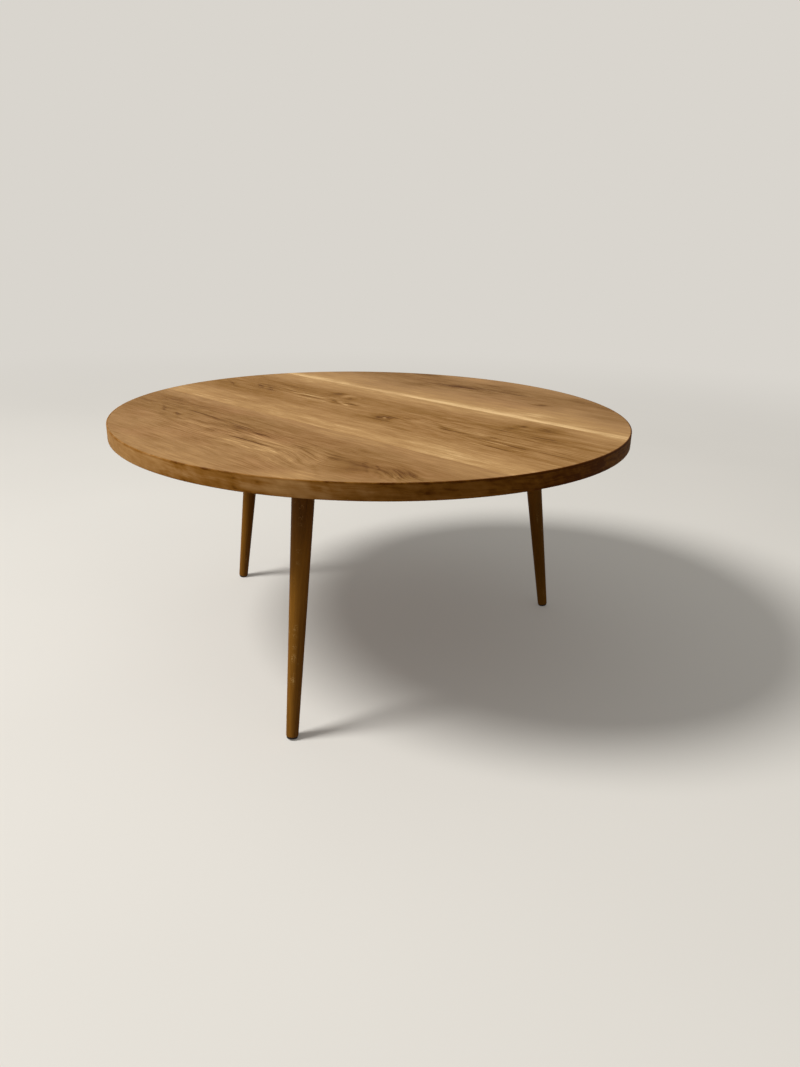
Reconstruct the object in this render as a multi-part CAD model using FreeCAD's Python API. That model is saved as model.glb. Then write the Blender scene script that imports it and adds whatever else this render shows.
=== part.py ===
"""Round cocktail table: a veneered disc top on three splayed, screwed-in legs.

Millimetres. The origin is on the floor under the middle of the top, +Z is up
and +X runs along the grain of the face veneer.
"""
import FreeCAD, Part
import math
import os

from FreeCAD import Placement, Rotation, Vector

# Top: a board with three veneer leaves on its face, one below and a band round its edge
top_diameter = 900.0
top_thickness = 25.0
face_veneer_thickness = 0.6
backing_veneer_thickness = 0.6
rear_seam_offset = 148.0
front_seam_offset = -157.0
edge_band_thickness = 2.0
edge_band_ease = 1.0
edge_band_seam_gap = 0.15
edge_band_seam_angle = 150.0

# Legs: turned and tapered, square to their own axis at both ends
leg_length = 400.0
leg_top_diameter = 35.0
leg_foot_diameter = 19.0
leg_top_ease = 1.0
leg_foot_ease = 0.8
leg_splay_angle = 9.5
leg_inset_from_edge = 130.0
front_leg_angle = 297.3
left_leg_angle = 183.1
rear_leg_angle = 62.9

# Mounting plates: pressed steel with a tilted cup that the leg seats on
plate_length = 72.0
plate_width = 62.0
plate_thickness = 2.5
plate_corner_radius = 6.0
plate_hole_inset = 8.0
cup_depth = 12.0
cup_wall = 2.0
cup_seat_diameter = 40.0
cup_mouth_diameter = 47.0

# Nuts and hanger bolts
nut_width = 13.0
nut_height = 6.5
bolt_diameter = 8.0
bolt_length = 50.0
bolt_end_above_nut = 1.0
bolt_end_chamfer = 1.0
bolt_point_length = 6.0
machine_thread_pitch = 1.25
machine_thread_depth = 0.6
wood_thread_pitch = 3.0
wood_thread_depth = 1.2
bolt_hole_clearance = 0.25
thread_clearance = 0.05
bore_end_gap = 1.0

# Plate screws: countersunk, with a cross recess
screw_diameter = 4.0
screw_length = 16.0
screw_head_diameter = 8.0
screw_head_rim = 0.4
screw_thread_pitch = 1.8
screw_thread_depth = 0.6
screw_point_length = 3.0
screw_recess_length = 4.2
screw_recess_width = 0.9
screw_recess_depth = 1.2

# Foot glides and the nails moulded into them
glide_diameter = 17.0
glide_height = 3.7
glide_dome_radius = 40.0
nail_diameter = 2.2
nail_length = 18.0
nail_point_length = 4.0
nail_head_diameter = 6.0
nail_head_thickness = 1.0
nail_head_cover = 1.0

# How far a cutting tool runs past the face that it cuts
overrun = 5.0

# Heights and places that follow from the sizes above
splay = math.radians(leg_splay_angle)
seat_height = glide_dome_radius + (leg_length + glide_height - glide_dome_radius) * math.cos(splay)
underside_height = seat_height + cup_depth
table_height = underside_height + top_thickness
board_radius = top_diameter / 2 - edge_band_thickness
board_bottom = underside_height + backing_veneer_thickness
board_thickness = top_thickness - backing_veneer_thickness - face_veneer_thickness
leg_bearings = {"front": front_leg_angle, "left": left_leg_angle, "rear": rear_leg_angle}
leg_seat_radius = top_diameter / 2 - leg_inset_from_edge
plate_radius = leg_seat_radius - cup_depth * math.tan(splay)
plate_bottom = underside_height - plate_thickness
bolt_above_leg = cup_wall + nut_height + bolt_end_above_nut
bolt_in_leg = bolt_length - bolt_above_leg
screw_hole_places = [
    (along * (plate_length / 2 - plate_hole_inset), across * (plate_width / 2 - plate_hole_inset))
    for along in (-1, 1)
    for across in (-1, 1)
]


def disc(radius, bottom, height):
    """A flat disc about the table's axis."""
    return Part.makeCylinder(radius, height, Vector(0, 0, bottom))


def turned(outline):
    """A solid turned about Z from (radius, height) points, starting and ending on the axis."""
    points = [Vector(radius, 0, height) for radius, height in outline]
    face = Part.Face(Part.makePolygon(points + points[:1]))
    return face.revolve(Vector(0, 0, 0), Vector(0, 0, 1), 360)


def thread_outline(radius, depth, pitch, top, bottom):
    """Outline points of thread ridges, from top down to bottom."""
    turns = max(1, round((top - bottom) / pitch))
    step = (top - bottom) / turns
    points = []
    for turn in range(turns):
        points.append((radius - depth, top - turn * step))
        points.append((radius, top - (turn + 1 / 3) * step))
        points.append((radius, top - (turn + 2 / 3) * step))
    return points + [(radius - depth, bottom)]


def on_leg_axis(shape, bearing):
    """Place a shape made about Z, with the seat at zero and the leg below it, on a leg's axis."""
    tilt = Placement(Vector(leg_seat_radius, 0, seat_height), Rotation(Vector(0, 1, 0), -leg_splay_angle))
    placed = shape.copy()
    placed.Placement = Placement(Vector(0, 0, 0), Rotation(Vector(0, 0, 1), bearing)) * tilt
    return placed


def at_plate(shape, bearing):
    """Place a level shape, made about the plate's middle, under the top at a leg's bearing."""
    out = Placement(Vector(plate_radius, 0, 0), Rotation())
    placed = shape.copy()
    placed.Placement = Placement(Vector(0, 0, 0), Rotation(Vector(0, 0, 1), bearing)) * out * shape.Placement
    return placed


def at_screw_holes(shape):
    """Four copies of a shape made about Z, one at each of a plate's screw holes."""
    return Part.makeCompound([
        shape.translated(Vector(along, across, 0)) for along, across in screw_hole_places
    ])


def bore_at_every_plate(shape):
    """Cut the plate screws' holes into a layer of the top."""
    hole_radius = screw_diameter / 2 + thread_clearance
    holes = at_screw_holes(Part.makeCylinder(hole_radius, screw_length, Vector(0, 0, plate_bottom)))
    for bearing in leg_bearings.values():
        shape = shape.cut(at_plate(holes, bearing))
    return shape


def core_board():
    return bore_at_every_plate(disc(board_radius, board_bottom, board_thickness))


def backing_veneer():
    return bore_at_every_plate(disc(board_radius, underside_height, backing_veneer_thickness))


def face_veneer(low, high):
    """One leaf of the face, between two seams that run along the grain."""
    sheet = disc(board_radius, board_bottom + board_thickness, face_veneer_thickness)
    strip = Part.makeBox(
        2 * board_radius, high - low, face_veneer_thickness,
        Vector(-board_radius, low, board_bottom + board_thickness),
    )
    return sheet.common(strip)


def edge_band():
    """The strip round the edge, with eased outer corners and a butt seam."""
    ring = disc(top_diameter / 2, underside_height, top_thickness)
    ring = ring.cut(disc(board_radius, underside_height, top_thickness))
    outer_edges = [
        edge for edge in ring.Edges
        if isinstance(edge.Curve, Part.Circle) and edge.Curve.Radius > board_radius + edge_band_thickness / 2
    ]
    ring = ring.makeFillet(min(edge_band_ease, edge_band_thickness / 2), outer_edges)
    seam = Part.makeBox(
        edge_band_thickness + 2 * overrun, edge_band_seam_gap, top_thickness + 2 * overrun,
        Vector(board_radius - overrun, -edge_band_seam_gap / 2, underside_height - overrun),
    )
    seam.rotate(Vector(0, 0, 0), Vector(0, 0, 1), edge_band_seam_angle)
    return ring.cut(seam)


def hanger_bolt():
    """Machine thread above the leg, wood thread in it."""
    radius = bolt_diameter / 2
    tip = radius - bolt_end_chamfer
    outline = [(0, bolt_above_leg), (tip, bolt_above_leg)]
    outline += thread_outline(
        radius, machine_thread_depth, machine_thread_pitch, bolt_above_leg - bolt_end_chamfer, 0)
    outline += thread_outline(
        radius, wood_thread_depth, wood_thread_pitch, -wood_thread_pitch, bolt_point_length - bolt_in_leg)
    return turned(outline + [(0, -bolt_in_leg)])


def plate_nut():
    """A hexagon nut that sits in the plate's cup."""
    corner_radius = nut_width / 2 / math.cos(math.pi / 6)
    corner_angles = [side * math.pi / 3 for side in range(6)]
    corners = [
        Vector(corner_radius * math.cos(angle), corner_radius * math.sin(angle), cup_wall)
        for angle in corner_angles
    ]
    hexagon = Part.Face(Part.makePolygon(corners + corners[:1]))
    nut = hexagon.extrude(Vector(0, 0, nut_height))
    bore = Part.makeCylinder(
        bolt_diameter / 2 + thread_clearance, nut_height + 2 * overrun, Vector(0, 0, cup_wall - overrun))
    return nut.cut(bore)


def glide_nail():
    """The nail's head lies in the glide, and its shank goes up into the leg."""
    head_top = -leg_length - nail_head_cover
    head_bottom = head_top - nail_head_thickness
    shank_end = -leg_length + nail_length
    return turned([
        (0, shank_end),
        (nail_diameter / 2, shank_end - nail_point_length),
        (nail_diameter / 2, head_top),
        (nail_head_diameter / 2, head_top),
        (nail_head_diameter / 2, head_bottom),
        (0, head_bottom),
    ])


def foot_glide():
    """A disc with a domed sole, moulded round its nail."""
    end = -leg_length
    body = Part.makeCylinder(glide_diameter / 2, glide_height, Vector(0, 0, end - glide_height))
    dome = Part.makeSphere(glide_dome_radius, Vector(0, 0, end - glide_height + glide_dome_radius))
    return body.common(dome).cut(glide_nail())


def end_rims(shape, upper):
    """The circular edges at the upper or the lower end of a leg."""
    return [
        edge for edge in shape.Edges
        if isinstance(edge.Curve, Part.Circle) and (edge.Curve.Center.z > -leg_length / 2) == upper
    ]


def leg():
    """A tapered round leg, bored for its bolt above and its nail below."""
    body = Part.makeCone(leg_foot_diameter / 2, leg_top_diameter / 2, leg_length, Vector(0, 0, -leg_length))
    body = body.makeFillet(leg_foot_ease, end_rims(body, upper=False))
    body = body.makeFillet(leg_top_ease, end_rims(body, upper=True))
    bolt_bore = Part.makeCylinder(
        bolt_diameter / 2 + thread_clearance, bolt_in_leg + bore_end_gap + overrun,
        Vector(0, 0, -bolt_in_leg - bore_end_gap))
    nail_bore = Part.makeCylinder(
        nail_diameter / 2 + thread_clearance, nail_length + bore_end_gap + overrun,
        Vector(0, 0, -leg_length - overrun))
    return body.cut(bolt_bore).cut(nail_bore)


def cup_cone(wall):
    """The tilted cup's outside, or its inside at a wall's distance, running on past the underside."""
    flare = (cup_mouth_diameter - cup_seat_diameter) / 2 / cup_depth
    height = cup_depth + cup_mouth_diameter * math.tan(splay) + overrun
    seat_radius = cup_seat_diameter / 2 - wall
    return Part.makeCone(
        seat_radius + flare * wall, seat_radius + flare * height, height - wall, Vector(0, 0, wall))


def countersink():
    """The hole that a screw's head and shank pass through, from below the plate up."""
    shank_radius = screw_diameter / 2 + thread_clearance
    head_radius = screw_head_diameter / 2 + thread_clearance
    neck = plate_bottom + screw_head_rim + head_radius - shank_radius
    return turned([
        (0, plate_bottom - overrun),
        (head_radius, plate_bottom - overrun),
        (head_radius, plate_bottom + screw_head_rim),
        (shank_radius, neck),
        (shank_radius, plate_bottom + screw_length),
        (0, plate_bottom + screw_length),
    ])


def leg_plate(bearing):
    """A flat plate with a tilted cup, a bolt hole in the cup and four countersunk holes."""
    blank = Part.makeBox(
        plate_length, plate_width, plate_thickness, Vector(-plate_length / 2, -plate_width / 2, plate_bottom))
    upright = [edge for edge in blank.Edges if edge.BoundBox.ZLength > plate_thickness / 2]
    blank = at_plate(blank.makeFillet(plate_corner_radius, upright), bearing)
    below_top = disc(top_diameter / 2, 0, underside_height)
    cup = on_leg_axis(cup_cone(0), bearing).common(below_top)
    hollow = on_leg_axis(cup_cone(cup_wall), bearing)
    bolt_hole = on_leg_axis(
        Part.makeCylinder(
            bolt_diameter / 2 + bolt_hole_clearance, cup_wall + 2 * overrun, Vector(0, 0, -overrun)),
        bearing)
    plate = blank.fuse(cup).cut(hollow).cut(bolt_hole)
    return plate.cut(at_plate(at_screw_holes(countersink()), bearing))


def plate_screw():
    """One screw, head down and flush with the plate's lower face."""
    shank_radius = screw_diameter / 2
    head_radius = screw_head_diameter / 2
    neck = plate_bottom + screw_head_rim + head_radius - shank_radius
    point = plate_bottom + screw_length - screw_point_length
    thread = thread_outline(shank_radius, screw_thread_depth, screw_thread_pitch, point, neck)
    outline = [(0, plate_bottom), (head_radius, plate_bottom), (head_radius, plate_bottom + screw_head_rim)]
    outline += [(shank_radius, neck)] + thread[::-1] + [(0, plate_bottom + screw_length)]
    screw = turned(outline)
    slot = Part.makeBox(
        screw_recess_length, screw_recess_width, screw_recess_depth + overrun,
        Vector(-screw_recess_length / 2, -screw_recess_width / 2, plate_bottom - overrun))
    crossed_slot = slot.copy()
    crossed_slot.rotate(Vector(0, 0, 0), Vector(0, 0, 1), 90)
    return screw.cut(slot).cut(crossed_slot)


def pieces():
    """Every node's name and its solid, or its group of like solids."""
    made = {
        "core_board": core_board(),
        "backing_veneer": backing_veneer(),
        "face_veneer_front": face_veneer(-board_radius, front_seam_offset),
        "face_veneer_middle": face_veneer(front_seam_offset, rear_seam_offset),
        "face_veneer_rear": face_veneer(rear_seam_offset, board_radius),
        "edge_band": edge_band(),
    }
    for side, bearing in leg_bearings.items():
        made["leg_" + side] = on_leg_axis(leg(), bearing)
        made["leg_plate_" + side] = leg_plate(bearing)
        made["plate_nut_" + side] = on_leg_axis(plate_nut(), bearing)
        made["plate_screws_" + side] = at_plate(at_screw_holes(plate_screw()), bearing)
        made["hanger_bolt_" + side] = on_leg_axis(hanger_bolt(), bearing)
        made["foot_glide_" + side] = on_leg_axis(foot_glide(), bearing)
        made["glide_nail_" + side] = on_leg_axis(glide_nail(), bearing)
    return made


os.makedirs("parts", exist_ok=True)
for name, shape in pieces().items():
    shape.exportStep(os.path.join("parts", name + ".step"))
    print(name, len(shape.Solids), shape.isValid(), round(shape.Volume))
print("table height", round(table_height, 2))
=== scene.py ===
"""Looks of a round cocktail table: a veneered disc top on three splayed, turned legs.

Metres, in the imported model's frame: the floor is at zero, +Z is up and +X runs along the
grain of the face. Patterns are written in millimetres, as a veneer layer would measure them.
"""
import math
from typing import NamedTuple

import bmesh
import bpy
from bpy.props import FloatProperty, FloatVectorProperty, PointerProperty
from mathutils import Matrix, Vector


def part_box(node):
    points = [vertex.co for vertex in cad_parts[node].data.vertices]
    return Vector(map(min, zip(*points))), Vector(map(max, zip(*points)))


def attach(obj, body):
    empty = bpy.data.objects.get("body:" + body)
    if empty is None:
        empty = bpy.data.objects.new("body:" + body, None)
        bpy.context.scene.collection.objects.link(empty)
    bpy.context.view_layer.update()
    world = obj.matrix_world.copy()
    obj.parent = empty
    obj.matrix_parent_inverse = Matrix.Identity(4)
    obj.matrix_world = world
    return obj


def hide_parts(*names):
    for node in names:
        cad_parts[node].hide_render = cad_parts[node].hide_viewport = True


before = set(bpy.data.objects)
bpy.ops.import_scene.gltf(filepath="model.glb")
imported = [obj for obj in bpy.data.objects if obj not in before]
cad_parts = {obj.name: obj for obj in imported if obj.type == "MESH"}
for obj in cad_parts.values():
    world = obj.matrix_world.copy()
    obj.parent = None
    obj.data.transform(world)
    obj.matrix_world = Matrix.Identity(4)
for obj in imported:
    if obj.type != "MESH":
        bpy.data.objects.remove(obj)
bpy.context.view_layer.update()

bl_info = {
    "name": "Round Cocktail Table",
    "version": (1, 0, 0),
    "blender": (4, 5, 0),
    "location": "3D View > Sidebar > Table",
    "description": "Builds the looks of a veneered round table on three turned legs",
    "category": "Object",
}

band_low, band_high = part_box("edge_band")
board_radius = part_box("core_board")[1].x
sides = ("front", "left", "rear")
# How far apart the three legs lie in the stock that they are turned from
stock_step = 0.7


def srgb(red, green, blue):
    """A colour as a paint card gives it, 0 to 255, as the linear numbers that a shader takes."""
    return tuple(
        (part / 255 / 12.92) if part < 10.3 else ((part / 255 + 0.055) / 1.055) ** 2.4
        for part in (red, green, blue)
    )


def length_property(name, description, default):
    return FloatProperty(name=name, description=description, default=default, min=0.0, unit="LENGTH", precision=5)


def angle_property(name, description, degrees):
    return FloatProperty(name=name, description=description, default=math.radians(degrees), subtype="ANGLE")


def colour_property(name, description, default):
    return FloatVectorProperty(
        name=name, description=description, default=default, min=0.0, max=1.0, size=3, subtype="COLOR")


class TopSettings(bpy.types.PropertyGroup):
    """The veneered face, its edge band and the underside."""
    seam_ease: length_property("Seam Ease", "Tiny bevel where two leaves meet", 0.00012)
    band_ease: length_property("Band Ease", "Rounding of the band's outer corners", 0.001)
    band_seam_gap: length_property("Band Seam Gap", "Width of the band's butt seam", 0.00015)
    band_seam_bearing: angle_property("Band Seam Bearing", "Where the band's ends meet", 150.0)
    sapwood: colour_property("Sapwood", "Palest wood, along the rear seam", srgb(240, 201, 143))
    light_heart: colour_property("Light Heartwood", "Pale heartwood", srgb(190, 147, 93))
    heart: colour_property("Heartwood", "Most of the face", srgb(167, 124, 73))
    dark_heart: colour_property("Dark Heartwood", "Broad dark bands", srgb(142, 99, 40))
    # Haze is painted sheen: a grey film over darker wood that stands in for the lacquer's reflection
    haze: colour_property("Haze", "Grey that dulls a leaf's darker wood", srgb(200, 190, 175))
    knot: colour_property("Knot", "Knots and the darkest streaks", srgb(94, 52, 2))
    face_roughness: FloatProperty(
        name="Face Roughness", description="Satin of the lacquer on the face", default=0.46, min=0.0, max=1.0,
        subtype="FACTOR")


class LegSettings(bpy.types.PropertyGroup):
    """The three turned legs."""
    length: length_property("Length", "Along the leg's own axis", 0.4)
    top_diameter: length_property("Top Diameter", "At the seat", 0.035)
    foot_diameter: length_property("Foot Diameter", "At the glide", 0.019)
    top_ease: length_property("Top Ease", "Rounding at the seat", 0.001)
    foot_ease: length_property("Foot Ease", "Rounding at the foot", 0.0008)
    splay: angle_property("Splay", "Lean of each leg from upright", 9.5)
    seat_radius: length_property("Seat Radius", "From the table's axis to a leg's seat", 0.32)
    seat_height: length_property("Seat Height", "From the floor to a leg's seat", 0.398712)
    front_bearing: angle_property("Front Bearing", "Where the front leg stands", 297.3)
    left_bearing: angle_property("Left Bearing", "Where the left leg stands", 183.1)
    rear_bearing: angle_property("Rear Bearing", "Where the rear leg stands", 62.9)
    pale_stain: colour_property("Pale Stain", "Early wood under the stain", srgb(156, 106, 34))
    dark_stain: colour_property("Dark Stain", "Late wood and pores under the stain", srgb(90, 56, 12))
    fleck: colour_property("Fleck", "Small pale flecks in the leg wood", srgb(208, 170, 108))


class HardwareSettings(bpy.types.PropertyGroup):
    """Plates, screws and glides under the top."""
    plate_radius: length_property("Plate Radius", "From the table's axis to a plate's middle", 0.317992)
    plate_bottom: length_property("Plate Bottom", "Height of the plates' lower face", 0.408212)
    hole_spread_along: length_property("Hole Spread Along", "Between screw holes, outwards", 0.056)
    hole_spread_across: length_property("Hole Spread Across", "Between screw holes, sideways", 0.046)
    screw_head: length_property("Screw Head", "Diameter of a screw's head", 0.008)
    screw_shank: length_property("Screw Shank", "Diameter of a screw's shank", 0.004)
    screw_length: length_property("Screw Length", "From head to point", 0.016)
    recess_length: length_property("Recess Length", "Across the cross recess", 0.0042)
    recess_width: length_property("Recess Width", "Of each arm of the cross", 0.0009)
    recess_depth: length_property("Recess Depth", "Of the cross recess", 0.0012)
    powder_coat: colour_property("Powder Coat", "Coat on the plates", srgb(34, 33, 32))
    zinc: colour_property("Zinc", "Plating on screws, nuts and bolts", srgb(196, 198, 200))
    glide: colour_property("Glide", "Plastic under the feet", srgb(32, 22, 16))


class StageSettings(bpy.types.PropertyGroup):
    """Floor, light and camera."""
    floor: colour_property("Floor", "Plain pale floor", srgb(224, 220, 212))
    floor_bounce: colour_property("Floor Bounce", "How much light the floor throws back up", srgb(136, 116, 88))
    backdrop: colour_property("Backdrop", "What the camera sees past the floor", srgb(217, 213, 206))
    floor_radius: length_property("Floor Radius", "From the table's axis to the floor's edge", 40.0)
    fade_start: length_property("Fade Start", "Where the floor starts to fade into the backdrop", 1.15)
    fade_end: length_property("Fade End", "Where the floor has the backdrop's tone", 4.4)
    shadow_lift: FloatProperty(
        name="Shadow Lift", description="Share of the backdrop's tone that the floor keeps in shadow", default=0.16,
        min=0.0, max=1.0)
    ambient: FloatProperty(name="Ambient", description="Even light from all round", default=0.26, min=0.0)
    key_strength: FloatProperty(name="Key Strength", description="Soft light from the left", default=3.05, min=0.0)
    key_height: length_property("Key Height", "Of the soft light above the floor", 2.33)
    key_distance: length_property("Key Distance", "Level distance of the soft light from the table's axis", 1.866)
    key_bearing: angle_property("Key Bearing", "Where the soft light comes from", 244.0)
    key_size: length_property("Key Size", "Radius of the soft light", 0.42)
    camera_distance: length_property("Camera Distance", "Level distance to the table's axis", 1.41803)
    camera_height: length_property("Camera Height", "Above the floor", 0.72483)
    camera_pitch: angle_property("Camera Pitch", "Looking down", 20.283)
    camera_yaw: angle_property("Camera Yaw", "Turned from the table's axis", 2.0758)
    camera_roll: angle_property("Camera Roll", "Tilt of the frame", 1.3735)
    camera_bearing: angle_property("Camera Bearing", "Turn of the camera about the table", 45.0)
    camera_shift_x: FloatProperty(name="Camera Shift X", description="Sideways, in frame widths", default=0.0020)
    camera_shift_y: FloatProperty(name="Camera Shift Y", description="Upwards, in frame widths", default=0.0008)
    lens: FloatProperty(name="Lens", description="Focal length on a 36 mm frame, in mm", default=26.925)


class TableSettings(bpy.types.PropertyGroup):
    """All settings of the table."""
    top: PointerProperty(type=TopSettings)
    legs: PointerProperty(type=LegSettings)
    hardware: PointerProperty(type=HardwareSettings)
    stage: PointerProperty(type=StageSettings)


# Node trees

def feed(tree, socket, value):
    """Link an input to a field or a socket, or set it to a plain value."""
    if isinstance(value, Field):
        value = value.socket
    if isinstance(value, bpy.types.NodeSocket):
        tree.links.new(value, socket)
    elif value is not None:
        socket.default_value = value


def add_node(tree, kind, inputs=None, **settings):
    """A node with its settings made and its inputs fed."""
    node = tree.nodes.new(kind)
    for name, value in settings.items():
        setattr(node, name, value)
    for key, value in (inputs or {}).items():
        feed(tree, node.inputs[key], value)
    return node


def calculate(tree, operation, *values):
    """The result of a math node."""
    node = add_node(tree, "ShaderNodeMath", dict(enumerate(values)), operation=operation)
    return Field(tree, node.outputs[0])


class Field:
    """A number that varies over a surface. A formula of fields becomes math nodes."""

    def __init__(self, tree, socket):
        self.tree = tree
        self.socket = socket

    def __add__(self, other):
        return calculate(self.tree, "ADD", self, other)

    __radd__ = __add__

    def __sub__(self, other):
        return calculate(self.tree, "SUBTRACT", self, other)

    def __rsub__(self, other):
        return calculate(self.tree, "SUBTRACT", other, self)

    def __mul__(self, other):
        return calculate(self.tree, "MULTIPLY", self, other)

    def __truediv__(self, other):
        return calculate(self.tree, "DIVIDE", self, other)

    def of(self, operation, *others):
        return calculate(self.tree, operation, self, *others)

    def between(self, low, high, to_low=0.0, to_high=1.0):
        """One value below low and another above high, with a soft step between them."""
        node = add_node(
            self.tree, "ShaderNodeMapRange",
            {"Value": self, "From Min": low, "From Max": high, "To Min": to_low, "To Max": to_high},
            interpolation_type="SMOOTHSTEP")
        return Field(self.tree, node.outputs[0])


def join(tree, x=0.0, y=0.0, z=0.0):
    """A vector from three numbers."""
    return add_node(tree, "ShaderNodeCombineXYZ", {0: x, 1: y, 2: z}).outputs[0]


def split(tree, vector):
    """The three numbers of a vector."""
    node = add_node(tree, "ShaderNodeSeparateXYZ", {0: vector})
    return tuple(Field(tree, socket) for socket in node.outputs)


def length_of(tree, vector):
    node = add_node(tree, "ShaderNodeVectorMath", {0: vector}, operation="LENGTH")
    return Field(tree, node.outputs["Value"])


def millimetres(tree, vector):
    node = add_node(tree, "ShaderNodeVectorMath", {0: vector, "Scale": 1000.0}, operation="SCALE")
    return node.outputs[0]


def surface_point(tree):
    """The point on the piece, in millimetres."""
    return millimetres(tree, add_node(tree, "ShaderNodeTexCoord").outputs["Object"])


def noise(tree, x, y, z=0.0, detail=2.0, roughness=0.5):
    """Cloudy noise about 0.5, at one step for each unit of its coordinates."""
    node = add_node(
        tree, "ShaderNodeTexNoise",
        {"Vector": join(tree, x, y, z), "Scale": 1.0, "Detail": detail, "Roughness": roughness})
    return Field(tree, node.outputs[0])


def swing(tree, x, y, z=0.0, detail=2.0, roughness=0.5):
    """Cloudy noise about zero."""
    return noise(tree, x, y, z, detail, roughness) - 0.5


def speckle(tree, point, size, detail=2.0):
    """Cloudy noise about 0.5 whose grains have one size, in millimetres, in every direction."""
    return noise(tree, *(part / size for part in point), detail)


def turned_to(tree, place, centre, half, angle=0.0):
    """The place seen from a centre, turned along the grain there and measured in half sizes."""
    node = add_node(
        tree, "ShaderNodeMapping",
        {"Vector": place, "Location": (*centre, 0.0), "Rotation": (0.0, 0.0, math.radians(angle)),
         "Scale": (*half, 1.0)},
        vector_type="TEXTURE")
    return node.outputs[0]


def spot(tree, place, centre, half, angle=0.0):
    """A soft spot, one at its centre and fading out past its half sizes."""
    inside = turned_to(tree, place, centre, half, angle)
    square = add_node(tree, "ShaderNodeVectorMath", {0: inside, 1: inside}, operation="DOT_PRODUCT")
    return calculate(tree, "POWER", 1 / math.e, Field(tree, square.outputs["Value"]))


def tone_ramp(tree, position, stops, interpolation="EASE"):
    """A colour ramp. Its stops are (position, colour), and a plain number stands for a grey."""
    node = add_node(tree, "ShaderNodeValToRGB", {0: position})
    ramp = node.color_ramp
    ramp.interpolation = interpolation
    while len(ramp.elements) < len(stops):
        ramp.elements.new(1.0)
    for element, (place, colour) in zip(ramp.elements, stops):
        element.position = place
        element.color = (*((colour,) * 3 if isinstance(colour, float) else tuple(colour)), 1.0)
    return Field(tree, node.outputs[0])


def mix_colours(tree, factor, first, second, blend="MIX"):
    node = add_node(tree, "ShaderNodeMix", data_type="RGBA", blend_type=blend)
    feed(tree, node.inputs[0], factor)
    for place, value in ((6, first), (7, second)):
        feed(tree, node.inputs[place], value if isinstance(value, Field) else (*value, 1.0))
    return Field(tree, node.outputs[2])


def direct_rays(tree, gloss=0.25):
    """One where the camera, a gloss or a clear piece shows a surface, and zero where it only lights others."""
    rays = add_node(tree, "ShaderNodeLightPath")
    clear = calculate(tree, "MAXIMUM", rays.outputs["Is Camera Ray"], rays.outputs["Is Transmission Ray"])
    return clear.of("MAXIMUM", Field(tree, rays.outputs["Is Glossy Ray"]) * gloss)


def finish_material(name, build):
    """A new material whose tree is made by a function that gives the surface shader's inputs."""
    material = bpy.data.materials.new(name)
    material.use_nodes = True
    tree = material.node_tree
    tree.nodes.clear()
    inputs, height, depth = build(tree)
    if height is not None:
        bump = add_node(tree, "ShaderNodeBump", {"Strength": 1.0, "Distance": depth, "Height": height})
        inputs["Normal"] = bump.outputs[0]
    shader = add_node(tree, "ShaderNodeBsdfPrincipled", inputs)
    add_node(tree, "ShaderNodeOutputMaterial", {"Surface": shader.outputs[0]})
    return material


# Wood of the top

class Leaf(NamedTuple):
    """One leaf of veneer as it was chosen: how its tone runs across the grain and where its figure lies.

    Tones go from 0, sapwood, to 1, the darkest heartwood. Places are in millimetres on the table, x along the
    grain and y across it. Each item of figure starts with (x, y, half length, half width). A mark goes on with
    its change of tone and its angle, a swirl with how far the grain bends round it, a sweep with how far the
    grain falls as it passes, an arch with its angle, its line spacing in half sizes, its strength and which
    end shows, and a lively place with how much the lines gain there. Streaks is the strength of the whole
    grain, red how much of the leaf blushes, and dull how far haze greys its darker wood: a painted sheen, a
    grey film that stands in for the lacquer's reflection.
    """
    seed: float
    low: float
    high: float
    tones: list
    marks: list = ()
    swirls: list = ()
    sweeps: list = ()
    arches: list = ()
    lively: list = ()
    streaks: float = 1.0
    red: float = 0.0
    dull: float = 0.0


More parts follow.
